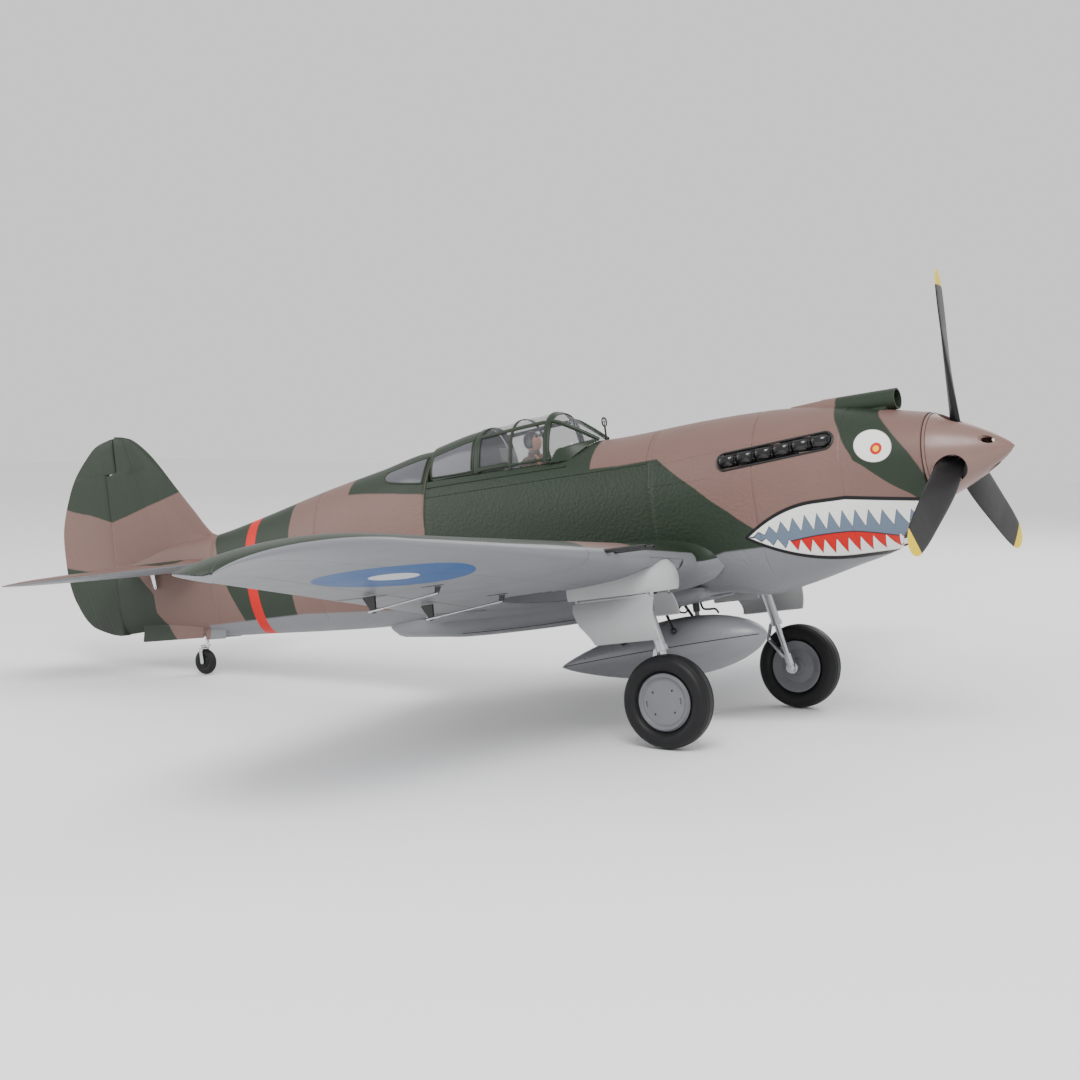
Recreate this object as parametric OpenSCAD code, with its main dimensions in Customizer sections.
// Electric model of a single-seat wartime fighter, standing on its three wheels.
// The parts are drawn in the aeroplane's own frame: x forward along the thrust
// line, y to the left, z up, origin midway between the main wheel centres.
// standing() then tilts them to rest on the ground plane z = 0.

/* [Stance and running gear] */
// Nose-up angle of the thrust line at rest
stance = 9.04; // [8.6:0.1:9.4]
// Outer radius of a main tyre
wheel_r = 44.3; // [43.5:0.1:44.6]
// Width of a main tyre
tyre_w = 26; // [24:0.5:27]
// Sideways distance from the centre line to a main wheel centre
wheel_y = 150.5; // [148:0.5:154]
// Forward rake of the main leg
rake = 13; // [12:0.5:14]
// Radius of the tail wheel
tail_r = 15; // [13.5:0.5:16]

/* [Wing] */
// Half of the wing span
semi_span = 700; // [670:5:720]
// Chord on the centre line
root_chord = 338; // [334:1:344]
// Chord that the straight edges would reach at the tip
tip_chord = 148; // [140:1:160]
// Upward slope of each wing panel
dihedral = 5.8; // [5.5:0.1:6]
// Angle between the root chord and the thrust line
incidence = 3.9; // [3.6:0.1:4.2]

/* [Power] */
// Height of the thrust line above the main axles
thrust_z = 194.8; // [193.5:0.1:196]
// Tip radius of the propeller
prop_r = 174; // [160:1:178]

/* [Hidden] */
$fn = 48;

// Paint and plastic colours
GREEN = "#3f4a3c";
BROWN = "#8b6f66";
GREY = "#8f9194";
PALE = "#c9cac8";
BLACK = "#1c1c1d";
METAL = "#b9bcc0";
BLUE_CASE = "#25324a";

// ---------------------------------------------------------------- shared shapes

// Index of the table row at or before s, for a table whose first column grows
function row_at(s, t, i = 0) =
  i >= len(t) - 2 || s < t[i + 1][0] ? i : row_at(s, t, i + 1);

// Slope of column k at row i of a table
function slope(t, i, k) =
  let (a = max(i - 1, 0), b = min(i + 1, len(t) - 1))
  (t[b][k] - t[a][k]) / (t[b][0] - t[a][0]);

// Smooth value of column k at s
function smooth(s, t, k) =
  let (
    i = row_at(s, t),
    h = t[i + 1][0] - t[i][0],
    u = (s - t[i][0]) / h,
    a = slope(t, i, k) * h,
    b = slope(t, i + 1, k) * h,
    d = t[i + 1][k] - t[i][k]
  )
  t[i][k] + u * (a + u * (3 * d - 2 * a - b + u * (a + b - 2 * d)));

// Closed solid through rings that all have the same number of points
module loft(rings) {
  n = len(rings);
  m = len(rings[0]);
  polyhedron(
    points = [for (r = rings) each r],
    faces = [
      [for (j = [0:m - 1]) j],
      [for (j = [m - 1:-1:0]) (n - 1) * m + j],
      for (i = [0:n - 2], j = [0:m - 1])
        each [
          [i * m + j, (i + 1) * m + j, (i + 1) * m + (j + 1) % m],
          [i * m + j, (i + 1) * m + (j + 1) % m, i * m + (j + 1) % m]
        ]
    ]
  );
}

// Ends of a sideways rod with its axis along y
module rod_y(p, r, h = 1) {
  translate(p) rotate([90, 0, 0]) cylinder(r = r, h = h, center = true);
}

// Straight round bar between two points
module bar(a, b, r) {
  d = b - a;
  length = norm(d);
  translate(a)
    rotate([0, acos(d[2] / length), atan2(d[1], d[0])])
      cylinder(r = r, h = length);
}

module box(low, high) {
  translate(low) cube(high - low);
}

module standing() {
  translate([0, 0, wheel_r]) rotate([0, -stance, 0]) children();
}

// side is 1 for left and -1 for right
module on_side(side) {
  if (side > 0) children();
  else mirror([0, 1, 0]) children();
}

module both_sides() {
  for (side = [1, -1]) on_side(side) children();
}

// ---------------------------------------------------------------- fuselage shape

// x, top z, bottom z, half width, z of the widest point, power of the curve below it
BODY = [
  [-803, 214, 122, 5.5, 168, 2.0],
  [-728, 219, 122, 14, 168, 2.0],
  [-642, 224, 107, 24.5, 167, 2.0],
  [-585, 233, 103.5, 31, 167, 2.1],
  [-473, 254.5, 97.5, 42.5, 169, 2.3],
  [-394, 267, 95, 49, 171, 2.4],
  [-330, 277.5, 94, 53, 173, 2.5],
  [-220, 270, 93, 57.5, 175, 2.6],
  [-114, 260, 92, 59, 177, 2.6],
  [0, 262.7, 92, 59, 180, 2.5],
  [50, 263, 84, 58, 184, 2.4],
  [92, 261.5, 90, 56.5, 187, 2.3],
  [141, 257, 101.5, 54, 190, 2.2],
  [186, 247.6, 112.5, 50.5, 193, 2.1],
  [215, 241, 126, 45.6, thrust_z, 2.0],
  [236, thrust_z + 41.6, 140, 41.6, thrust_z, 2.0]
];
BODY_TAIL = BODY[0][0];
BODY_NOSE = BODY[len(BODY) - 1][0];
BODY_RING = 30;
CAVITY_RING = 14;
FOAM = 8;

function signed_power(v, p) = sign(v) * pow(abs(v), p);

// Cross-section at x, moved inwards by wall
function body_ring(x, wall = 0, count = BODY_RING) =
  let (
    top = smooth(x, BODY, 1) - wall,
    low = smooth(x, BODY, 2) + wall,
    half = smooth(x, BODY, 3) - wall,
    mid = smooth(x, BODY, 4),
    power = smooth(x, BODY, 5)
  )
  [
    for (i = [0:count - 1])
      let (
        a = 360 * i / count,
        n = sin(a) < 0 ? power : 2,
        reach = sin(a) < 0 ? mid - low : top - mid
      )
      [
        x,
        half * signed_power(cos(a), 2 / n),
        mid + reach * signed_power(sin(a), 2 / n)
      ]
  ];

module body_solid(from, to, step, wall = 0, around = BODY_RING) {
  count = ceil((to - from) / step);
  loft([for (i = [0:count]) body_ring(from + (to - from) * i / count, wall, around)]);
}

// ---------------------------------------------------------------- wing shape

SWEEP = 1.4;
LE_X = 9;
CHORD_Z = 119.5;
ROOT_Y = 72;
ROUND_Y = semi_span - 150;
HINGE_U = 0.77;
WING_GAP = 0.2;
WASHOUT = 0.4;
TIP_DROOP = 22;
TIP_BACK = 0.38;

function straight_chord(y) =
  root_chord - (root_chord - tip_chord) * abs(y) / semi_span;

// How much of the chord is left where the tip rounds off
function tip_share(y) =
  abs(y) <= ROUND_Y ? 1
  : sqrt(max(0, 1 - pow((abs(y) - ROUND_Y) / (semi_span - ROUND_Y), 2)));

function chord(y) = straight_chord(y) * tip_share(y);

function wing_slope(y) = tan(incidence - WASHOUT * abs(y) / semi_span);

// How far the leading edge curves back at the tip
function tip_back(y) = TIP_BACK * straight_chord(y) * (1 - tip_share(y));

function nose_x(y) = LE_X - abs(y) * tan(SWEEP) - tip_back(y);

function nose_z(y) =
  CHORD_Z + abs(y) * tan(dihedral) - tip_back(y) * wing_slope(y)
  - TIP_DROOP * (1 - tip_share(y));

function thickness(y) = 0.15 - 0.06 * abs(y) / semi_span;

function half_depth(u, t) =
  5 * t * (0.2969 * sqrt(u) - 0.126 * u - 0.3516 * u ^ 2 + 0.2843 * u ^ 3
    - 0.1036 * u ^ 4) + 0.003 * u;

function camber(u) =
  u < 0.4 ? 0.125 * (0.8 * u - u * u) : 0.0555 * (0.2 + 0.8 * u - u * u);

// Point on the wing at span y, share u of the chord, and height v from -1 to 1
function on_wing(y, u, v, grow = 0) =
  let (c = chord(y))
  [
    nose_x(y) - c * u,
    y,
    nose_z(y) - c * u * wing_slope(y) + c * (camber(u) + v * half_depth(u, thickness(y)))
      + v * grow
  ];

SECTION = 12;
function wing_ring(y, grow = 0) =
  [
    for (i = [0:SECTION]) on_wing(y, (1 + cos(180 * i / SECTION)) / 2, 1, grow),
    for (i = [1:SECTION]) on_wing(y, (1 - cos(180 * i / SECTION)) / 2, -1, grow)
  ];

WING_STATIONS = [
  ROOT_Y + WING_GAP, 180, 300, 420, ROUND_Y,
  each [for (a = [12:13:88]) ROUND_Y + (semi_span - ROUND_Y) * sin(a)]
];

module wing_solid() {
  loft([for (y = WING_STATIONS) wing_ring(y)]);
}

// ---------------------------------------------------------------- moving surfaces

AILERON = [308, 546];
FLAP = [80.5, 298.5];
AILERON_PIN_R = 1;
RUNNING = 0.05;
SURFACE_GAP = 0.9;
END_GAP = 1.1;
FLAP_END_GAP = 2.6;

function hinge_r(y) = chord(y) * half_depth(HINGE_U, thickness(y));
function flap_axis(y) = on_wing(y, HINGE_U, -1) + [0, 0, 1.8];

module aileron_shape(grow, reach, open) {
  hull()
    for (end = [0, 1])
      let (
        y = AILERON[end] + (end == 0 ? -1 : 1) * (grow > 0 ? END_GAP : 0),
        inward = end == 0 ? 0.5 : -0.5
      ) {
        rod_y(on_wing(y, HINGE_U, 0) + [0, inward, 0], hinge_r(y) + grow, $fn = 28);
        for (s = [-1, 1])
          rod_y(on_wing(y, 1, 0) + [-reach, inward, s * open], 0.9, $fn = 16);
      }
}

module aileron(side) {
  on_side(side)
    difference() {
      aileron_shape(0, -0.9, 0);
      aileron_pins(AILERON_PIN_R + RUNNING, 9);
    }
}

module aileron_pins(r, reach) {
  a = on_wing(AILERON[0], HINGE_U, 0);
  b = on_wing(AILERON[1], HINGE_U, 0);
  along = (b - a) / norm(b - a);
  bar(a - along * 5, a + along * reach, r);
  bar(b - along * reach, b + along * reach, r);
}

module flap_shape(grow, reach, open) {
  hull()
    for (end = [0, 1])
      let (
        y = FLAP[end] + (end == 0 ? -1 : 1) * (grow > 0 ? FLAP_END_GAP : 0),
        inward = [0, end == 0 ? 0.5 : -0.5, 0]
      ) {
        for (s = [-1, 1])
          rod_y(
            on_wing(y, HINGE_U, s) + inward + [grow, 0, s * (3 * grow - 0.9)], 0.7, $fn = 16
          );
        for (s = [-1, 1])
          rod_y(on_wing(y, 1, 0) + inward + [-reach, 0, s * open], 0.9, $fn = 16);
      }
}

module flap_pins(r, reach) {
  a = flap_axis(FLAP[0]);
  b = flap_axis(FLAP[1]);
  along = (b - a) / norm(b - a);
  bar(a - along * 6, a + along * reach, r);
  bar(b - along * reach, b + along * 5, r);
}

module flap(side) {
  on_side(side)
    difference() {
      flap_shape(0, -0.9, 0);
      flap_pins(AILERON_PIN_R - 0.2 + RUNNING, 9);
    }
}

// Control horn hanging under a moving surface, with a hole for the pushrod end
AILERON_LINK_Y = 322;
FLAP_LINK_Y = 196;
HORN_W = 2.4;
HORN_DROP = 15;

function horn_root(y) = on_wing(y, HINGE_U + 0.035, -1);
function horn_tip(y) = horn_root(y) + [2, 0, -HORN_DROP];
function arm_tip(y) = on_wing(y, 0.5, -1) + [-3, 0, -6];

module horn(side, y) {
  root = horn_root(y);
  on_side(side)
    difference() {
      hull() {
        rod_y(root + [4, 0, -2.2], 1.2, HORN_W, $fn = 16);
        rod_y(root + [-7, 0, -2.5], 1.2, HORN_W, $fn = 16);
        rod_y(horn_tip(y), 2.2, HORN_W, $fn = 16);
      }
      rod_y(horn_tip(y), 0.9, HORN_W + 2);
    }
}

// Pushrod that runs beside its horn and its servo arm
module pushrod(side, y) {
  beside = [0, HORN_W / 2 + 2, 0];
  from = arm_tip(y) + beside + [3, 0, 0];
  to = horn_tip(y) + beside;
  along = (to - from) / norm(to - from);
  on_side(side)
    union() {
      bar(from, to + along * 3, 0.9);
      bar(to - along * 14, to + along * 3.5, 1.15);
      bar(from - along * 1, from + along * 10, 1.15);
    }
}

// ---------------------------------------------------------------- main gear

LEG_Y = wheel_y - 20.5;
PIVOT_Z = 104;
PIVOT_X = -PIVOT_Z * tan(rake);
LEG_L = PIVOT_Z / cos(rake);
AXLE_R = 2.45;
RETRACT_TURN = 100;
WELL_R = wheel_r + 2.4;
OLEO_TRAVEL = 6;
DOOR_Z = 101;
DOOR_R = 29.5;
DOOR_OPEN = 50;
DOOR_FRONT = 6;
DOOR_REAR = -84;
DOOR_LUG_W = 2.5;
INNER_DOOR = [-62, -8];

// Leg frame: origin on the retract pivot, leg along -z, axle at [0, 20.5, -LEG_L]
module leg_frame(side) {
  on_side(side) translate([PIVOT_X, LEG_Y, PIVOT_Z]) rotate([0, -rake, 0]) children();
}

// Wheel frame: origin on the wheel centre, axle along y, outboard towards +y
module wheel_frame(side) {
  on_side(side) translate([0, wheel_y, 0]) children();
}

module trunnion(side) {
  color(METAL) leg_frame(side)
    difference() {
      union() {
        rotate([90, 0, 0]) cylinder(r = 6.4, h = 13, center = true);
        translate([0, 0, -19]) cylinder(r = 6.4, h = 19);
      }
      rotate([90, 0, 0]) cylinder(r = 2 + RUNNING, h = 14, center = true);
      translate([0, 0, -20]) cylinder(r = 3.5 + RUNNING, h = 13);
    }
}

// Oleo leg that twists in the trunnion; upper scissor link behind it
module leg(side) {
  color(METAL) leg_frame(side)
    difference() {
      union() {
        translate([0, 0, -26]) cylinder(r = 3.5, h = 18.8);
        translate([0, 0, -56]) cylinder(r = 5, h = 36.8);
        translate([0, 0, -59]) cylinder(r = 6, h = 5);
        translate([-7, -1.2, -58]) cube([4, 2.4, 3]);
        hull() {
          rod_y([-7, 0, -56.5], 1.5, 2.4, $fn = 16);
          rod_y([-14.5, 0, -69], 1.5, 2.4, $fn = 16);
        }
      }
      translate([0, 0, -60]) cylinder(r = 3.3, h = 36);
    }
}

// Sliding lower leg with its axle and lower scissor link
module piston(side) {
  color(METAL) leg_frame(side) {
    translate([0, 0, -LEG_L]) cylinder(r = 3.25, h = LEG_L - 34);
    translate([0, 0, -LEG_L]) rotate([-90, 0, 0]) cylinder(r = 6.2, h = 6.6);
    translate([0, 0, -LEG_L]) rotate([90, 0, 0]) cylinder(r = 5, h = 4.5);
    translate([0, 0, -LEG_L]) rotate([-90, 0, 0]) cylinder(r = AXLE_R, h = 29.7);
    translate([0, 0, -LEG_L]) cylinder(r = 5, h = 15);
    for (s = [-1, 1])
      hull() {
        rod_y([-4, s * 2.3, 14 - LEG_L], 1.4, 1.4, $fn = 16);
        rod_y([-14.5, s * 2.3, -70], 1.4, 1.4, $fn = 16);
      }
  }
}

RIM_R = 27.5;
HUB_IN = 11.5;
HUB_OUT = 12.5;

module hub(side) {
  color(GREY) wheel_frame(side) rotate([-90, 0, 0])
    difference() {
      rotate_extrude()
        polygon([
          [AXLE_R + RUNNING, -HUB_IN], [7, -HUB_IN], [9, -7], [18, -5.5], [24, -8.5],
          [26, -9.5], [RIM_R - 0.2, -9.5], [RIM_R - 0.2, 9], [26, 10.4], [23.5, 10.4],
          [22.5, 9.4], [20, 9.6], [10, 10.4], [0, 10.6], [0, 9.6], [AXLE_R + RUNNING, 9.6]
        ]);
      for (a = [45:90:315])
        rotate(a) translate([14.5, 0, 8]) cylinder(r = 1.1, h = 4);
      for (a = [0, 180])
        rotate(a) translate([17, -3, 8.6]) cube([1.6, 6, 3]);
    }
}

module tyre(side) {
  half = tyre_w / 2;
  color(BLACK) wheel_frame(side) rotate([-90, 0, 0])
    rotate_extrude()
      polygon(concat(
        [[RIM_R, -9.4], [RIM_R, 9.4]],
        [
          for (a = [150:-12:-150])
            let (r = (wheel_r - RIM_R) / 2)
            [
              RIM_R + r + r * signed_power(cos(a), 0.8),
              half * signed_power(sin(a), 0.75)
            ]
        ]
      ));
}

// A door is part of a tube about the fore-and-aft line under the pivot: the outer
// one reaches the bottom of the tube when closed and the inner one is shorter
module door_closed(inner_side) {
  ends = inner_side ? INNER_DOOR : [DOOR_REAR, DOOR_FRONT];
  length = ends[1] - ends[0];
  slope = inner_side ? 4 : 24;
  translate([0, LEG_Y, DOOR_Z]) mirror([0, inner_side ? 1 : 0, 0])
    difference() {
      union() {
        intersection() {
          translate([ends[0], 0, 0]) rotate([0, 90, 0])
            difference() {
              cylinder(r = DOOR_R + 0.8, h = length);
              translate([0, 0, -1]) cylinder(r = DOOR_R - 0.8, h = length + 2);
            }
          translate([0, inner_side ? DOOR_R * cos(50) : 0.4, -40])
            translate([ends[0] - 1, 0, 0]) cube([length + 2, 60, 40]);
          rotate([90, 0, 0]) translate([0, 0, -60])
            linear_extrude(120)
              polygon([
                [ends[0], 1], [ends[1] - 2, 1], [ends[1], -DOOR_R - 2],
                [ends[0] + slope, -DOOR_R - 2], [ends[0] + 0.4 * slope, 0.75 * -DOOR_R],
                [ends[0] + 0.12 * slope, 0.4 * -DOOR_R]
              ]);
        }
        translate([ends[0] + 8, DOOR_R, 0]) rotate([0, 90, 0])
          cylinder(r = 1.7, h = length - 16);
      }
      translate([ends[0] - 1, DOOR_R, 0]) rotate([0, 90, 0])
        cylinder(r = 0.8 + RUNNING, h = length + 2);
      for (x = [ends[0] - 1, ends[1] - 3.5 - DOOR_LUG_W])
        translate([x, DOOR_R, 0]) rotate([0, 90, 0])
          cylinder(r = 2.8, h = DOOR_LUG_W + 4.5);
    }
}

module door(side, inner_side) {
  hinge_y = LEG_Y + (inner_side ? -DOOR_R : DOOR_R);
  color(PALE) on_side(side)
    translate([0, hinge_y, DOOR_Z]) rotate([inner_side ? -DOOR_OPEN : DOOR_OPEN, 0, 0])
      translate([0, -hinge_y, -DOOR_Z]) door_closed(inner_side);
}

// Fairing over the retract pivot, in front of and under the wing
POD_Z = 110;
POD_R = 31.5;
POD_REAR = -88;
POD_NOSE = [-9, 116, 22];
POD_FLOOR = DOOR_Z + 2.4;
POD_SKIN = 2.4;

module pod_body(grow) {
  hull() {
    translate([POD_NOSE[0], LEG_Y, POD_NOSE[1]])
      sphere(r = POD_NOSE[2] + grow, $fn = 20);
    translate([POD_NOSE[0] - 16, LEG_Y, POD_Z]) rotate([0, 90, 0])
      cylinder(r = POD_R + grow, h = 1, $fn = 20);
    translate([POD_REAR - abs(grow), LEG_Y, POD_Z]) rotate([0, 90, 0])
      cylinder(r = POD_R + grow, h = 1, $fn = 20);
  }
}

module door_rod(ends, y) {
  translate([ends[0] + 3, y, DOOR_Z]) rotate([0, 90, 0])
    cylinder(r = 0.8, h = ends[1] - ends[0] - 6);
  for (x = [ends[0] + 3, ends[1] - 3 - DOOR_LUG_W])
    translate([x, y - 1.2, DOOR_Z - 1]) cube([DOOR_LUG_W, 2.4, POD_FLOOR - DOOR_Z + 2.2]);
}

module gear_pod(side) {
  on_side(side) {
    difference() {
      pod_body(0);
      pod_body(-POD_SKIN);
      box([-200, 0, 0], [100, 300, POD_FLOOR]);
      box([-200, 0, POD_Z + 12], [POD_NOSE[0] - 4, 300, 300]);
      box([-200, LEG_Y - 15, 0], [-70, LEG_Y + 15, 300]);
    }
    door_rod([DOOR_REAR, DOOR_FRONT], LEG_Y + DOOR_R);
    door_rod(INNER_DOOR, LEG_Y - DOOR_R);
  }
}

module gear_pods() {
  color(PALE) both_sides() gear_pod(1);
}

// Retract gearbox: two cheeks, a bridge and the pivot pin
module retract_unit() {
  pin_half = 14;
  translate([PIVOT_X, LEG_Y, PIVOT_Z]) {
    for (s = [-1, 1])
      difference() {
        translate([-9, s * 10.3 - 1.5, -3.6]) cube([18, 3, 18]);
        translate([0, s * 10.3, 0]) rotate([90, 0, 0])
          cylinder(r = 1.9, h = 4, center = true);
      }
    rotate([90, 0, 0]) cylinder(r = 2, h = 2 * pin_half - 4, center = true);
    translate([-9, -11.8, 10.4]) cube([30, 23.6, 4]);
    translate([10, -9, 0]) cube([11, 18, 11]);
  }
}

module retract_units() {
  color(BLACK) both_sides() retract_unit();
}

// Space that the leg and wheel need inside the wing
module gear_bay() {
  tilt = 90 + rake - RETRACT_TURN;
  box([-131, LEG_Y - 9, 60], [PIVOT_X + 24, LEG_Y + 9, PIVOT_Z + 9]);
  box([PIVOT_X - 12, LEG_Y - 13.5, 60], [PIVOT_X + 23, LEG_Y + 13.5, PIVOT_Z + 15.5]);
  box([-92, LEG_Y - 18.5, 60], [-70, LEG_Y + 18.5, PIVOT_Z + 9]);
  for (reach = [LEG_L, LEG_L - OLEO_TRAVEL])
    translate([PIVOT_X - reach * cos(tilt), LEG_Y, PIVOT_Z - reach * sin(tilt)])
      rotate([0, -tilt, 0])
        translate([0, 0, -40])
          cylinder(r = WELL_R, h = 40 + wheel_y - LEG_Y + tyre_w / 2 + 1.2);
}

// ---------------------------------------------------------------- wing panels

GUN_Y = [222, 237];
GUN_Z = 3;
SPAR_X = -190;
SPAR_R = 5;
BOLT_Z = 137;
BOLT_X = [-40, -120];
SERVO = [22, 23, 11];

// Outline of a wing servo lying flat in its pocket, with its output arm
module wing_servo(y, grow = 0) {
  p = on_wing(y, 0.5, -1);
  translate([p[0], y, p[2]]) {
    translate([-SERVO[0] / 2 - grow, -SERVO[1] / 2 - grow, 0.6 - 20 * grow])
      cube([SERVO[0] + 2 * grow, SERVO[1] + 2 * grow, SERVO[2] + 20.3 * grow]);
    if (grow == 0)
      hull() {
        rod_y([0, 0, 2], 3, 2, $fn = 16);
        rod_y([-3, 0, -6], 1.8, 2, $fn = 16);
      }
  }
}

module guns(r, length) {
  for (y = GUN_Y)
    translate(on_wing(y, 0.02, 0) + [-length / 2, 0, GUN_Z])
      rotate([0, 90, 0]) cylinder(r = r, h = length);
}

module wing(side) {
  on_side(side)
    difference() {
      wing_solid();
      pod_body(0.4);
      gear_bay();
      aileron_shape(END_GAP, 30, 16);
      flap_shape(END_GAP, 30, 16);
      aileron_pins(AILERON_PIN_R + RUNNING, 9.5);
      flap_pins(AILERON_PIN_R - 0.2 + RUNNING, 10);
      for (y = [AILERON_LINK_Y, FLAP_LINK_Y]) wing_servo(y, 0.3);
      guns(2.1, 100);
      spar(SPAR_R + 0.1, 191);
      wing_bolt_holes();
    }
}

module spar(r, reach) {
  both_sides() intersection() {
    translate([SPAR_X, 0, on_wing(0, (LE_X - SPAR_X) / root_chord, 0)[2]]) rotate([dihedral - 90, 0, 0])
      translate([0, 0, -20]) cylinder(r = r, h = reach + 20);
    box([-200, 0, 0], [0, 300, 300]);
  }
}

module spar_tube() {
  color(BLACK)
    difference() {
      spar(SPAR_R, 190);
      spar(SPAR_R - 1, 195);
    }
}

module wing_bolt_holes() {
  for (x = BOLT_X)
    translate([x, 36, BOLT_Z]) rotate([-90, 0, 0]) {
      cylinder(r = 3.6, h = 11.2);
      cylinder(r = 2.15, h = 60);
    }
}

module wing_bolts() {
  color(METAL) both_sides()
    for (x = BOLT_X)
      translate([x, 0, BOLT_Z]) rotate([-90, 0, 0])
        difference() {
          union() {
            translate([0, 0, 44]) cylinder(r = 3.4, h = 3);
            translate([0, 0, 44]) cylinder(r = 2, h = 50);
          }
          translate([0, 0, 43]) cylinder(r = 1.6, h = 2.5, $fn = 6);
        }
}

module wing_guns() {
  color(BLACK) both_sides()
    difference() {
      guns(2, 92);
      for (y = GUN_Y)
        translate(on_wing(y, 0.02, 0) + [30, 0, GUN_Z])
          rotate([0, 90, 0]) cylinder(r = 1.2, h = 40);
    }
}

module servos() {
  color(BLACK) {
    both_sides() for (y = [AILERON_LINK_Y, FLAP_LINK_Y]) wing_servo(y);
    for (s = [-1, 1])
      translate([-250, s * 18, FLOOR_Z + 0.2]) {
        translate([-11, -6, 0]) cube([22, 12, 22]);
        translate([-16, -6, 15]) cube([32, 12, 2]);
        translate([5, 0, 21]) cylinder(r = 3, h = 5);
        hull() {
          translate([5, 0, 24]) cylinder(r = 3, h = 1.6, $fn = 20);
          translate([5, -s * 13, 24]) cylinder(r = 1.6, h = 1.6, $fn = 16);
        }
      }
  }
}

// ---------------------------------------------------------------- tail surfaces

TAIL_Z = 194;
TAIL_HINGE_X = -735;
TAIL_SPAN = 239;
TAIL_ROOT = 21;
RUDDER_X = -804;
LUG_Y = 110;
LUG_W = 5;
LUG_Z = [150, 282];

// y, leading edge x, trailing edge x of the whole tailplane
TAIL_PLAN = [
  [0, -646, -800], [40, -650, -800], [120, -675, -795], [190, -700, -783],
  [220, -716, -772], [236, -738, -756]
];

TAIL_DEPTH = 0.085;
function tail_ring(y, grow = 0) =
  let (front = smooth(y, TAIL_PLAN, 1) + grow, c = front - smooth(y, TAIL_PLAN, 2))
  [
    for (i = [0:19])
      let (u = (1 + cos(18 * i)) / 2, s = i < 10 ? 1 : -1)
      [front - c * u, y, TAIL_Z + s * (c * half_depth(u, TAIL_DEPTH) + grow)]
  ];

function tail_hinge_r(y) =
  let (front = smooth(y, TAIL_PLAN, 1), c = front - smooth(y, TAIL_PLAN, 2))
  c * half_depth((front - TAIL_HINGE_X) / c, TAIL_DEPTH);

TAIL_STATIONS = [-0.5, 40, 120, 170, 200, 220, 232, 236];

module tail_half() {
  loft([for (y = TAIL_STATIONS) tail_ring(y)]);
}

// Round front edge of an elevator half along the hinge line
module hinge_barrel(grow) {
  ys = [TAIL_ROOT - grow, 40, 120, 170, 200, 220, 231.5 + 2 * grow];
  loft([
    for (y = ys)
      let (r = tail_hinge_r(min(y, 232)) + grow)
      [for (i = [0:19]) [TAIL_HINGE_X + r * cos(18 * i), y, TAIL_Z - r * sin(18 * i)]]
  ]);
}

module stabilizer() {
  color(BROWN) {
    both_sides() difference() {
      union() {
        difference() {
          tail_half();
          box([-900, -1, 0], [TAIL_HINGE_X + 0.6, 300, 300]);
          hinge_barrel(1);
          box([-900, -1, 0], [TAIL_HINGE_X + 9, TAIL_ROOT, 300]);
          box([-900, 232.4, 0], [-600, 300, 300]);
        }
        box(
          [TAIL_HINGE_X - 1.9, LUG_Y - LUG_W / 2, TAIL_Z - 1.9],
          [TAIL_HINGE_X + 16, LUG_Y + LUG_W / 2, TAIL_Z + 1.9]
        );
      }
      tail_pins(AILERON_PIN_R + RUNNING);
    }
  }
}

module tail_pins(r) {
  rod_y([TAIL_HINGE_X, LUG_Y, TAIL_Z], r, 20);
}

module elevator() {
  color(GREEN)
    both_sides() difference() {
      union() {
        difference() {
          tail_half();
          box([TAIL_HINGE_X, -1, 0], [-600, 300, 300]);
          box([-900, -1, 0], [-600, TAIL_ROOT, 300]);
        }
        hinge_barrel(0);
      }
      box(
        [TAIL_HINGE_X - 3.2, LUG_Y - LUG_W / 2 - 0.6, 0],
        [TAIL_HINGE_X + 20, LUG_Y + LUG_W / 2 + 0.6, 300]
      );
      rod_y([TAIL_HINGE_X, LUG_Y, TAIL_Z], AILERON_PIN_R + RUNNING, 21);
      rod_y([TAIL_HINGE_X, TAIL_ROOT, TAIL_Z], 1.6, 20);
    }
}

// Wire that joins the elevator halves, with the horn beside the fuselage
module elevator_joiner() {
  horn_y = -TAIL_ROOT + 3.2;
  color(METAL) rod_y([TAIL_HINGE_X, 0, TAIL_Z], 1.5, 2 * TAIL_ROOT + 16);
  color(BLACK)
    difference() {
      hull() {
        rod_y([TAIL_HINGE_X, horn_y, TAIL_Z], 3.4, 2.4, $fn = 20);
        rod_y([TAIL_HINGE_X + 3, horn_y, TAIL_Z - 21], 2, 2.4, $fn = 16);
      }
      rod_y([TAIL_HINGE_X + 3, horn_y, TAIL_Z - 21], 0.9, 4);
    }
}

// Fixed fin outline, x against z, from the spine to the tip
FIN_TOP = [
  [-630, 222], [-652, 228], [-675, 257], [-698, 287], [-721, 318], [-737, 336],
  [-757, 352], [-777, 358.5], [-785, 358.5]
];

module fin() {
  hull()
    for (i = [1:8])
      translate([FIN_TOP[i][0] - 2, 0, FIN_TOP[i][1] - 2]) sphere(r = 2, $fn = 12);
  hull() {
    for (i = [1:2:7])
      translate([FIN_TOP[i][0] - 2, 0, FIN_TOP[i][1] - 2]) sphere(r = 2, $fn = 12);
    for (p = [[25, 200, 6.4], [25, 345, 3.4], [0, 200, 5.4], [0, 345, 3]])
      translate([RUDDER_X + p[0], 0, p[1]]) cylinder(r = p[2], h = 1, $fn = 20);
  }
}

// Rudder trailing outline from the balance horn round to the foot
RUDDER_EDGE = [
  [-786, 357.4], [-800, 356], [-826, 344], [-854, 318], [-872, 288], [-884, 256],
  [-886.5, 221], [-885, 194], [-877, 167], [-856, 137], [-815, 121.5], [-806, 121]
];
BALANCE_Z = 315;

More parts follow.
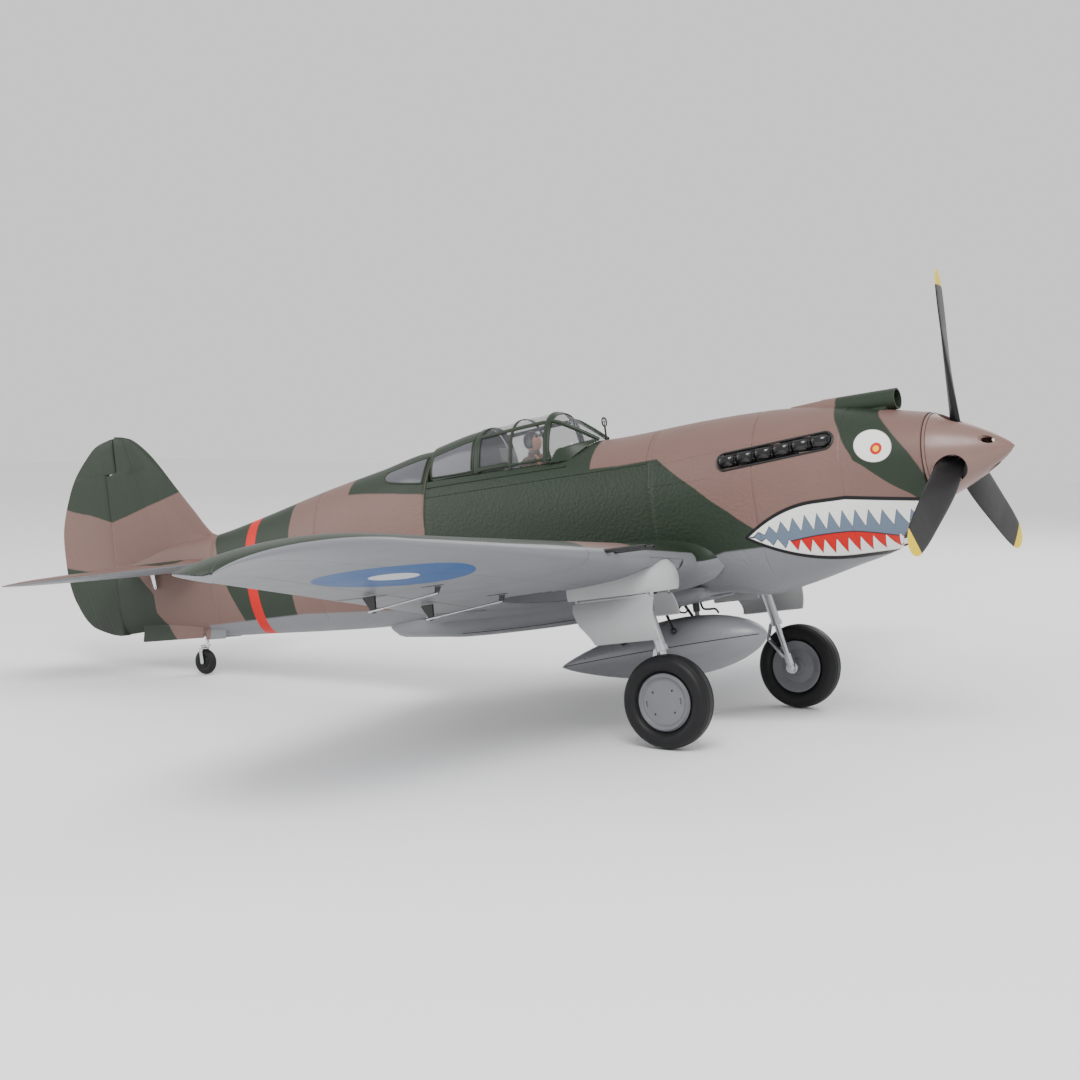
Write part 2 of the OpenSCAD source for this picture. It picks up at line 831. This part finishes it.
module rudder_half(from, to) {
  hull() {
    for (i = [from:to])
      translate([RUDDER_EDGE[i][0] + 1, 0, RUDDER_EDGE[i][1]]) sphere(r = 1, $fn = 10);
    translate([RUDDER_X, 0, 120.5]) cylinder(r = 5.2, h = 1, $fn = 24);
    translate([RUDDER_X, 0, BALANCE_Z]) cylinder(r = 4, h = 1, $fn = 24);
  }
}

module rudder() {
  color(GREEN)
    difference() {
      union() {
        rudder_half(3, 11);
        hull() {
          for (i = [0:3])
            translate([RUDDER_EDGE[i][0] + 1, 0, RUDDER_EDGE[i][1] - 1])
              sphere(r = 1, $fn = 10);
          translate([-789, 0, BALANCE_Z + 1]) cylinder(r = 2.2, h = 1, $fn = 16);
          translate([RUDDER_X, 0, BALANCE_Z]) cylinder(r = 4, h = 1, $fn = 24);
        }
      }
      for (z = LUG_Z) {
        box([RUDDER_X - 3.2, -20, z - LUG_W / 2 - 0.6], [0, 20, z + LUG_W / 2 + 0.6]);
        translate([RUDDER_X, 0, z - 10.5]) cylinder(r = AILERON_PIN_R + RUNNING, h = 21);
      }
    }
}

// Room that the rudder sweeps in the fin and the fuselage end
module rudder_room() {
  hull() {
    translate([RUDDER_X, 0, 110]) cylinder(r = 6.2, h = 1, $fn = 24);
    translate([RUDDER_X, 0, BALANCE_Z]) cylinder(r = 5, h = 1, $fn = 24);
  }
  box([-950, -20, 100], [RUDDER_X, 20, 400]);
  box([-950, -20, BALANCE_Z - 1], [-783.2, 20, 400]);
}

module rudder_lugs() {
  for (z = LUG_Z)
    difference() {
      box(
        [RUDDER_X - 1.9, -1.9, z - LUG_W / 2], [RUDDER_X + 12, 1.9, z + LUG_W / 2]
      );
      translate([RUDDER_X, 0, z - 10]) cylinder(r = AILERON_PIN_R + RUNNING, h = 20);
    }
}

module hinge_pins() {
  color(METAL) {
    both_sides() {
      aileron_pins(AILERON_PIN_R, 8);
      flap_pins(AILERON_PIN_R - 0.2, 8);
      tail_pins(AILERON_PIN_R);
    }
    for (z = LUG_Z)
      translate([RUDDER_X, 0, z - 10]) cylinder(r = AILERON_PIN_R, h = 20);
  }
}

// ---------------------------------------------------------------- tail wheel

TAIL_X = -685.7;
TAIL_WHEEL_Z =
  (tail_r - wheel_r - TAIL_X * sin(stance)) / cos(stance);
STEER_X = -679;
STEER_TOP = 121;

module tail_strut() {
  color(METAL) {
    translate([STEER_X, 0, 99]) cylinder(r = 2, h = STEER_TOP - 99);
    hull() {
      rod_y([STEER_X, 0, 99], 2.6, 4, $fn = 16);
      rod_y([TAIL_X, 0, TAIL_WHEEL_Z + tail_r + 2.6], 2.2, 4, $fn = 16);
    }
    hull() for (s = [-1, 1])
      translate([TAIL_X, s * 5.5, TAIL_WHEEL_Z + tail_r + 2.6]) sphere(r = 1.8, $fn = 10);
    for (s = [-1, 1])
      hull() {
        rod_y([TAIL_X, s * 6, TAIL_WHEEL_Z + tail_r + 2], 1.9, 1.8, $fn = 16);
        rod_y([TAIL_X, s * 6, TAIL_WHEEL_Z], 2.4, 1.8, $fn = 16);
      }
    rod_y([TAIL_X, 0, TAIL_WHEEL_Z], 1.2, 12);
  }
}

module tail_wheel() {
  color(BLACK)
    translate([TAIL_X, 0, TAIL_WHEEL_Z]) rotate([90, 0, 0])
      rotate_extrude()
        polygon(concat(
          [[1.2 + RUNNING, -4.2], [6, -4.2], [7, -3]],
          [
            for (a = [-130:20:130])
              [tail_r - 5 + 5 * cos(a), 4.4 * sin(a)]
          ],
          [[7, 3], [6, 4.2], [1.2 + RUNNING, 4.2]]
        ));
}

// ---------------------------------------------------------------- hatch and canopy

HATCH = [-316, -46];
HATCH_Z = 227;
HATCH_GAP = 0.4;
RAIL_Z = 244;
SILL_X = -140;
SCREEN_X = -117;
SIGHT_X = -113.5;
WELL = [-296, -150];
FLOOR_Z = 132;

// x, top z and half width at the rail of the canopy envelope
CANOPY = [
  [-318, 280.5, 33], [-272, 289, 37], [-226, 293, 38.5], [-184, 296, 38.5],
  [-164, 295.4, 38], [-140, 279, 34], [-118, 263, 24], [-110, 257, 20]
];
CANOPY_RING = 16;

function canopy_ring(x, inset = 0) =
  let (
    top = smooth(x, CANOPY, 1) - inset,
    half = smooth(x, CANOPY, 2) - inset,
    low = RAIL_Z - 12
  )
  [
    for (i = [0:CANOPY_RING])
      let (a = 180 * i / CANOPY_RING)
      [
        x,
        half * signed_power(cos(a), 0.8) * (1 + 0.06 * (1 - sin(a))),
        low + (top - low) * signed_power(sin(a), 0.8)
      ]
  ];

module canopy_solid(inset) {
  xs = concat([for (x = [-317.5:24:-180]) x], [-172, -164, -156, -146, -134, -120, -112]);
  loft([for (x = xs) canopy_ring(x, inset)]);
}

// Everything above the canopy's seat on the deck
module above_deck(lift) {
  translate([0, 60, 0]) rotate([90, 0, 0])
    linear_extrude(120)
      polygon([
        [HATCH[0] + 1, RAIL_Z + lift], [SILL_X, RAIL_Z + lift],
        [SCREEN_X + 1, 262 + lift], [SCREEN_X + 1, 320], [HATCH[0] + 1, 320]
      ]);
}

module hatch() {
  color(GREEN)
    difference() {
      intersection() {
        body_solid(HATCH[0] + HATCH_GAP, HATCH[1] - HATCH_GAP, 27);
        box([-400, -80, HATCH_Z + HATCH_GAP], [0, 80, 320]);
      }
      above_deck(0);
      hull() for (x = [WELL[0] + 14, WELL[1] - 14], y = [-14, 14])
        translate([x, y, HATCH_Z + 5]) cylinder(r = 14, h = 60, $fn = 24);
      hull() for (x = [-105, -75], s = [-1, 1])
        translate([x, s * 26, HATCH_Z - 4]) cylinder(r = 5, h = 16, $fn = 16);
      for (x = [-108, -306])
        translate([x, 0, 0]) box([-2.6, -4, HATCH_Z - 1], [2.6, 4, HATCH_Z + 3]);
      translate([SIGHT_X, 0, 255]) cylinder(r = 1.05, h = 20);
    }
}

GLASS = 0.9;
module canopy_glass() {
  color(PALE, 0.35)
    intersection() {
      difference() {
        canopy_solid(0);
        canopy_solid(GLASS);
        box([-330, -60, 220], [-314.6, 60, 340]);
      }
      above_deck(0.3);
    }
}

// Painted frame bars that sit on the glazing
FRAME_X = [-313.5, -252, -205, -163];
module canopy_frame() {
  color(GREEN)
    intersection() {
      difference() {
        canopy_solid(-1.1);
        canopy_solid(-0.06);
      }
      above_deck(0.3);
      union() {
        for (x = FRAME_X) box([x - 2, -60, 230], [x + 2, 60, 330]);
        box([HATCH[0], -60, RAIL_Z], [SILL_X + 2, 60, RAIL_Z + 5]);
        for (s = [-1, 1])
          hull() {
            translate([-316, s * 27 - 1.2, 260]) cube([1, 2.4, 10]);
            translate([-150, s * 31 - 1.2, 278]) cube([1, 2.4, 10]);
          }
        for (s = [-1, 1])
          hull() {
            translate([-165, s * 23 - 1.6, 230]) cube([1, 3.2, 70]);
            translate([-112, s * 9 - 1.6, 230]) cube([1, 3.2, 70]);
          }
      }
    }
}

PILOT_X = -205;
module pilot() {
  z = HATCH_Z + 5.3;
  color(BROWN) {
    hull() {
      translate([PILOT_X, 0, z]) cylinder(r = 13, h = 1, $fn = 24);
      for (s = [-1, 1])
        translate([PILOT_X, s * 13, z + 13]) sphere(r = 6, $fn = 16);
    }
    translate([PILOT_X + 1, 0, z + 12]) cylinder(r = 5, h = 16);
    hull() {
      translate([PILOT_X + 1, 0, z + 36]) sphere(r = 11.5, $fn = 18);
      translate([PILOT_X + 5, 0, z + 30]) sphere(r = 8.5, $fn = 18);
    }
  }
}

module gun_sight() {
  color(BLACK)
    translate([SIGHT_X, 0, 0]) {
      translate([0, 0, 256]) cylinder(r = 1, h = 18.6);
      translate([0, 0, 279]) rotate([0, 90, 0])
        union() {
          rotate_extrude() translate([4.6, 0]) circle(r = 0.8, $fn = 24);
          for (a = [0, 90])
            rotate(a) translate([-4.6, 0, 0]) rotate([0, 90, 0])
              cylinder(r = 0.5, h = 9.2);
        }
    }
}

// ---------------------------------------------------------------- nose

SCOOP_Z = 254.7;
SCOOP_FRONT = 205;
SCOOP_BACK = 137;
STACKS = [35, 152];
STACK_Z = [217, 224];
SPINNER_X = 237;
MOTOR_BAY = [162, 240];

module scoop_shape(grow) {
  translate([SCOOP_BACK - 8, 0, SCOOP_Z]) rotate([0, 90, 0])
    cylinder(r = 10.2 + grow, h = SCOOP_FRONT - SCOOP_BACK + 8 + grow);
  hull() {
    translate([SCOOP_BACK, 0, SCOOP_Z]) rotate([0, 90, 0])
      cylinder(r = 10.2 + grow, h = 1, $fn = 32);
    translate([96 - grow, 0, 258.6]) rotate([0, 90, 0])
      cylinder(r = 4 + grow, h = 1, $fn = 32);
  }
  hull() {
    box([SCOOP_BACK + 4 - grow, -7.5 - grow, 246 - grow], [SCOOP_FRONT - 9 + grow, 7.5 + grow, 250]);
    box([SCOOP_BACK + 4 - grow, -13 - grow, 241 - grow], [SCOOP_FRONT - 14 + grow, 13 + grow, 243]);
  }
}

module carburettor_scoop() {
  color(GREEN)
    difference() {
      scoop_shape(0);
      translate([SCOOP_BACK + 6, 0, SCOOP_Z]) rotate([0, 90, 0])
        cylinder(r = 8.6, h = 80);
    }
}

function stack_z(x) =
  STACK_Z[0] + (x - STACKS[0]) * (STACK_Z[1] - STACK_Z[0]) / (STACKS[1] - STACKS[0]);

// Half width of the body's upper part at a height
function body_y(x, z) =
  let (mid = smooth(x, BODY, 4), top = smooth(x, BODY, 1))
  smooth(x, BODY, 3) * sqrt(max(0, 1 - pow((z - mid) / (top - mid), 2)));

module stack_slot(side) {
  hull()
    for (x = [STACKS[0] + 7, STACKS[1] - 7])
      translate([x, side * (body_y(x, stack_z(x)) + 3), stack_z(x)]) rotate([90, 0, 0])
        cylinder(r = 7.4, h = 20, center = true, $fn = 20);
}

module exhaust_stacks() {
  pitch = (STACKS[1] - STACKS[0] - 21) / 5;
  color(BLACK) both_sides() {
    hull()
      for (x = [STACKS[0] + 8, STACKS[1] - 8])
        translate([x, body_y(x, stack_z(x)) - 4.6, stack_z(x)]) rotate([90, 0, 0])
          cylinder(r = 6.6, h = 2, center = true, $fn = 20);
    for (i = [0:5])
      let (x = STACKS[0] + 10.5 + i * pitch, z = stack_z(x), y = body_y(x, z))
      bar([x - 7, y - 0.2, z - 0.3], [x + 7.5, y - 0.8, z], 4.6);
  }
}

module chin_opening(grow) {
  hull()
    for (y = [-17, 17], z = [132, 143])
      translate([150, y, z]) rotate([0, 90, 0]) cylinder(r = 9.5 + grow, h = 90, $fn = 24);
}

// Sloping plane of the intake lip
module ahead_of_lip(back) {
  translate([0, 60, 0]) rotate([90, 0, 0])
    linear_extrude(120)
      polygon([
        [229 - back, 159.5], [188 - back, 108], [180 - back, 90], [260, 90], [260, 159.5]
      ]);
}

module chin_duct() {
  color(PALE)
    difference() {
      chin_opening(-0.3);
      box([100, -60, 90], [152, 60, 180]);
      ahead_of_lip(12);
      for (s = [-1, 1])
        translate([154, s * 14, 140]) rotate([0, 90, 0]) cylinder(r = 9.5, h = 90);
      translate([154, 0, 131]) rotate([0, 90, 0]) cylinder(r = 6.2, h = 90);
    }
}

module motor_base() {
  color(METAL)
    translate([MOTOR_BAY[0] + 0.3, 0, thrust_z]) rotate([0, 90, 0])
      difference() {
        union() {
          cylinder(r = 24, h = 3);
          cylinder(r = 8, h = 40);
          translate([0, 0, 10]) cylinder(r = 20.5, h = 28);
        }
        translate([0, 0, -1]) cylinder(r = 2.5 + RUNNING, h = 50);
        for (a = [45:90:315])
          rotate(a) translate([20, 0, -1]) cylinder(r = 1.6, h = 6);
        for (a = [0:30:330])
          rotate(a) translate([17, 0, 9]) cylinder(r = 2.4, h = 30);
      }
}

module motor_bell() {
  color(BLACK)
    translate([MOTOR_BAY[0], 0, thrust_z]) rotate([0, 90, 0]) {
      difference() {
        translate([0, 0, 8]) cylinder(r = 25, h = 38);
        translate([0, 0, 7]) cylinder(r = 22, h = 36);
        for (a = [0:60:300])
          rotate(a) translate([14, 0, 42]) cylinder(r = 4.5, h = 5);
      }
      translate([0, 0, 1]) cylinder(r = 2.5, h = 80);
      translate([0, 0, 45.9]) cylinder(r = 4, h = 59);
      translate([0, 0, 104.8]) cylinder(r = 7, h = 7, $fn = 6);
    }
}

// Distance behind the spinner tip against radius
SPINNER = [
  [0, 0.5], [3, 4.2], [12, 11.5], [28, 21.5], [50, 32.5], [64, 38.2], [74.5, 41.2]
];
SPINNER_TIP = 311.5;
PROP_X = 257.4;
BLADES = 3;
BLADE_ROOT_R = 15;
BLADE_ANGLE = 2;

SPINNER_WALL = 1.6;
SPINNER_DEEP = SPINNER_TIP - SPINNER_X - 3;

function spinner_r(d) = smooth(d, SPINNER, 1);

module spinner_cone() {
  steps = 18;
  depth = SPINNER_DEEP;
  wall = SPINNER_WALL;
  color(BROWN)
    translate([SPINNER_TIP, 0, thrust_z]) rotate([0, -90, 0])
      difference() {
        rotate_extrude()
          polygon(concat(
            [[0, 0]],
            [for (i = [0:steps]) let (d = depth * i / steps) [spinner_r(d), d]],
            [[spinner_r(depth) - wall, depth]],
            [
              for (i = [steps:-1:2])
                let (d = depth * i / steps)
                [max(0.1, spinner_r(d - 2) - wall), d]
            ],
            [[0, depth * 2 / steps]]
          ));
        for (i = [0:BLADES - 1])
          rotate(120 * i + BLADE_ANGLE) translate([0, 0, SPINNER_TIP - PROP_X])
            rotate([0, 90, 0]) translate([0, 0, 20])
              cylinder(r = BLADE_ROOT_R, h = 40);
        for (i = [0:BLADES - 1])
          rotate(120 * i + 60 + BLADE_ANGLE) translate([0, 0, 12])
            rotate([0, 62, 0]) translate([0, 0, 10]) cylinder(r = 4, h = 30);
      }
}

module spinner_backplate() {
  spigot = spinner_r(SPINNER_DEEP - 5) - SPINNER_WALL - 0.2;
  color(BROWN)
    translate([SPINNER_X, 0, thrust_z]) rotate([0, 90, 0])
      difference() {
        union() {
          cylinder(r = 41.2, h = 2.6);
          cylinder(r = 9, h = PROP_X - SPINNER_X - 9.3);
          translate([0, 0, 2]) cylinder(r = spigot, h = 3);
        }
        translate([0, 0, -1]) cylinder(r = 4 + RUNNING, h = 30);
        translate([0, 0, 2.6]) difference() {
          cylinder(r = spigot - 2, h = 4);
          cylinder(r = 9, h = 4);
        }
      }
}

// Blade section at radius r: chord and twist change along the blade
function blade_chord(r) =
  let (t = r / prop_r)
  t < 0.3 ? 15 + 60 * t : 33 * sqrt(max(0.06, 1 - pow(max(0, t - 0.42) / 0.588, 4)));
function blade_twist(r) = 90 - atan2(140, 2 * PI * r);

function blade_ring(r) =
  let (c = blade_chord(r), w = blade_twist(r), deep = 0.35 - 0.27 * min(1, r / prop_r * 1.5))
  [
    for (i = [11:-1:0])
      let (
        a = 360 * i / 12,
        u = c * 0.5 * cos(a),
        v = c * 0.5 * deep * sin(a) + (sin(a) > 0 ? 0.01 : -0.006) * c * (1 - pow(cos(a), 2))
      )
      [u * cos(w) - v * sin(w), -u * sin(w) - v * cos(w), r]
  ];

module blade() {
  loft([for (t = [0.07, 0.12, 0.2, 0.3, 0.42, 0.55, 0.68, 0.8, 0.89, 0.95, 0.985, 1])
    blade_ring(t * prop_r)]);
}

module propeller() {
  color(BLACK)
    translate([PROP_X, 0, thrust_z])
      difference() {
        union() {
          rotate([0, 90, 0]) cylinder(r = 14.5, h = 18, center = true);
          for (i = [0:BLADES - 1])
            rotate([120 * i - BLADE_ANGLE, 0, 0]) blade();
        }
        rotate([0, 90, 0]) cylinder(r = 4 + RUNNING, h = 30, center = true);
      }
}

// ---------------------------------------------------------------- fuselage moulding

// Root fillet: the wing section swells as it nears the body
FILLET = 24;
function fillet_grow(y) =
  let (t = min(1, (ROOT_Y - abs(y)) / FILLET)) FILLET * 0.8 * (1 - sqrt(1 - t * t));

function root_ring(y) =
  let (g = fillet_grow(y), base = wing_ring(max(abs(y), 40)), n = len(base))
  [
    for (i = [0:n - 1])
      let (p = base[i], a = 360 * i / n)
      [
        p[0] - g * 1.1 * cos(180 * min(i, n - i) / (n / 2)),
        y,
        p[2] + (i < n / 2 ? g : -0.35 * g)
      ]
  ];

module wing_stub() {
  ys = [-72, -67, -61, -55, -49, 49, 55, 61, 67, 72];
  loft([for (y = ys) root_ring(y)]);
}

// Smooth fairing under the wing centre section
module belly() {
  hull() {
    for (p = [[-12, 94, 40, 8], [-60, 97, 44, 15.5], [-199, 92, 40, 16.5], [-306, 90, 32, 14.5]])
      for (s = [-1, 1])
        translate([p[0], s * (p[2] - p[3]), p[1]]) sphere(r = p[3], $fn = 12);
    translate([-392, 0, 99]) sphere(r = 17.5, $fn = 16);
  }
}

module tail_fairings() {
  for (s = [-1, 1]) {
    hull() {
      translate([-768, s * 9, 112]) sphere(r = 1.5, $fn = 8);
      translate([-674, s * 13, 109]) sphere(r = 1.5, $fn = 8);
      translate([-768, s * 3, 132]) sphere(r = 1.5, $fn = 8);
      translate([-674, s * 6, 128]) sphere(r = 1.5, $fn = 8);
    }
    hull() {
      translate([-668, s * 13, 106]) sphere(r = 1.2, $fn = 8);
      translate([-640, s * 14, 105]) sphere(r = 1.2, $fn = 8);
      translate([-668, s * 7, 120]) sphere(r = 1.2, $fn = 8);
      translate([-640, s * 8, 119]) sphere(r = 1.2, $fn = 8);
    }
  }
}

module fuselage() {
  $fn = 24;
  color(BROWN)
    union() {
      difference() {
        union() {
          body_solid(BODY_TAIL, BODY_NOSE, 30);
          wing_stub();
          belly();
          fin();
          tail_fairings();
        }
        // hollow for the flight gear, with a flat foam floor
        intersection() {
          body_solid(-330, 150, 48, FOAM, CAVITY_RING);
          box([-400, -80, FLOOR_Z], [160, 80, 300]);
        }
        body_solid(-600, -340, 65, FOAM, CAVITY_RING);
        translate([-345, 0, 180]) rotate([0, 90, 0]) cylinder(r = 22, h = 30);
        // motor bay and the wire passage through the firewall
        translate([MOTOR_BAY[0], 0, thrust_z]) rotate([0, 90, 0])
          cylinder(r = 34, h = 80);
        translate([140, 0, thrust_z]) rotate([0, 90, 0]) cylinder(r = 9, h = 30);
        chin_opening(0);
        ahead_of_lip(0);
        stack_slot(1);
        stack_slot(-1);
        scoop_shape(0.2);
        box([HATCH[0], -80, HATCH_Z], [HATCH[1], 80, 330]);
        spar(SPAR_R + 0.1, 80);
        wing_bolt_holes();
        mirror([0, 1, 0]) wing_bolt_holes();
        // tailplane, joiner wire and rudder
        both_sides() loft([for (y = [-0.5, 12, 30]) tail_ring(y, 0.25)]);
        box([TAIL_HINGE_X - 40, -40, TAIL_Z - 2.2], [TAIL_HINGE_X + 12, 40, TAIL_Z + 2.2]);
        box([TAIL_HINGE_X - 6, -40, TAIL_Z - 4], [TAIL_HINGE_X + 12, 40, TAIL_Z + 4]);
        rudder_room();
        // tail-wheel pivot
        translate([STEER_X, 0, 90]) cylinder(r = 2 + RUNNING, h = STEER_TOP - 90 + 0.5);
        rack_holes();
      }
      rudder_lugs();
    }
}

module speed_controller() {
  color(BLUE_CASE)
    translate([88, -17, FLOOR_Z + 0.2])
      difference() {
        cube([52, 34, 13]);
        for (x = [8:6:44]) translate([x, 3, 10]) cube([2.4, 28, 5]);
      }
}

module battery() {
  color(BLUE_CASE)
    translate([-58, -21, FLOOR_Z + 0.2]) {
      cube([132, 42, 36]);
      translate([132, 8, 24]) cube([7, 16, 8]);
    }
}

module receiver() {
  color(BLACK)
    translate([-150, -14, FLOOR_Z + 0.2])
      difference() {
        cube([46, 28, 14]);
        for (i = [0:5]) translate([-1, 3 + 3.8 * i, 4]) cube([6, 2.6, 7]);
      }
}

// ---------------------------------------------------------------- drop tank

TANK_NOSE = [38, 46];
TANK_TAIL = [-202, 32];
TANK_R = 30;
TANK_PITCH = atan2(TANK_NOSE[1] - TANK_TAIL[1], TANK_NOSE[0] - TANK_TAIL[0]);
TANK_L = norm(TANK_NOSE - TANK_TAIL);

function tank_r(u) = TANK_R * pow(sin(180 * pow(u, 0.72)), 0.78);

module tank_frame() {
  translate([TANK_NOSE[0], 0, TANK_NOSE[1]]) rotate([0, -90 - TANK_PITCH, 0]) children();
}

module drop_tank() {
  steps = 22;
  color(GREY)
    union() {
      tank_frame()
        rotate_extrude()
          polygon(concat(
            [[0, 0]],
            [for (i = [1:steps - 1])
              let (u = (1 - cos(180 * i / steps)) / 2) [tank_r(u), TANK_L * u]],
            [[0, TANK_L]]
          ));
      translate([RACK_X, 0, 68]) cylinder(r = STUB_R, h = 9.5);
    }
}

// Rack that carries the tank: hook tube, sway braces and fuel pipe
RACK_X = -36;
RACK_TOP = 92;
STUB_R = 2.4;

// x, sideways distance and height of each sway-brace pad
PADS = [[-50, 28.5, 59], [-112, 24, 52.6]];
function brace_top(p, s) = [p[0] - 17, s * 19, 96];

module rack_holes() {
  for (p = PADS, s = [-1, 1])
    bar(brace_top(p, s) + [-0.1, 0, 0.4], [p[0], s * p[1], p[2]], 1.7, $fn = 16);
  translate([RACK_X, 0, 70]) cylinder(r = 3.8, h = RACK_TOP - 70 + 0.2, $fn = 24);
}

module tank_rack() {
  color(BLACK) {
    difference() {
      translate([RACK_X, 0, 74.7]) cylinder(r = 3.6, h = RACK_TOP - 74.7);
      translate([RACK_X, 0, 74]) cylinder(r = STUB_R + RUNNING, h = 4);
    }
    for (p = PADS, s = [-1, 1]) {
      bar(brace_top(p, s), [p[0], s * p[1], p[2]], 1.5);
      translate([p[0], s * p[1], p[2]]) sphere(r = 3.2, $fn = 16);
    }
  }
}

// ---------------------------------------------------------------- assembly

module linkage_horn(side, y) {
  color(BLACK) horn(side, y);
}

module linkage_rod(side, y) {
  color(METAL) pushrod(side, y);
}

module wing_panel(side) {
  color(GREY) wing(side);
}

module moving_aileron(side) {
  color(GREY) aileron(side);
}

module moving_flap(side) {
  color(GREY) flap(side);
}

standing() {
  fuselage();
  chin_duct();
  exhaust_stacks();
  carburettor_scoop();
  motor_base();
  speed_controller();
  battery();
  receiver();
  servos();
  wing_panel(1);  // wing_left
  wing_panel(-1);  // wing_right
  spar_tube();
  wing_bolts();
  hinge_pins();
  stabilizer();
  tank_rack();
  gear_pods();
  retract_units();
  wing_guns();
  motor_bell();
  spinner_backplate();
  spinner_cone();
  propeller();
  moving_aileron(1);  // aileron_left
  moving_aileron(-1);  // aileron_right
  moving_flap(1);  // flap_left
  moving_flap(-1);  // flap_right
  elevator();
  rudder();
  linkage_horn(1, AILERON_LINK_Y);  // aileron_horn_left
  linkage_horn(-1, AILERON_LINK_Y);  // aileron_horn_right
  linkage_horn(1, FLAP_LINK_Y);  // flap_horn_left
  linkage_horn(-1, FLAP_LINK_Y);  // flap_horn_right
  elevator_joiner();
  linkage_rod(1, AILERON_LINK_Y);  // aileron_pushrod_left
  linkage_rod(-1, AILERON_LINK_Y);  // aileron_pushrod_right
  linkage_rod(1, FLAP_LINK_Y);  // flap_pushrod_left
  linkage_rod(-1, FLAP_LINK_Y);  // flap_pushrod_right
  trunnion(1);  // trunnion_left
  trunnion(-1);  // trunnion_right
  leg(1);  // leg_left
  leg(-1);  // leg_right
  piston(1);  // piston_left
  piston(-1);  // piston_right
  hub(1);  // hub_left
  hub(-1);  // hub_right
  tyre(1);  // tyre_left
  tyre(-1);  // tyre_right
  door(1, false);  // door_outer_left
  door(-1, false);  // door_outer_right
  door(1, true);  // door_inner_left
  door(-1, true);  // door_inner_right
  tail_strut();
  tail_wheel();
  hatch();
  canopy_frame();
  canopy_glass();
  pilot();
  gun_sight();
  drop_tank();
}
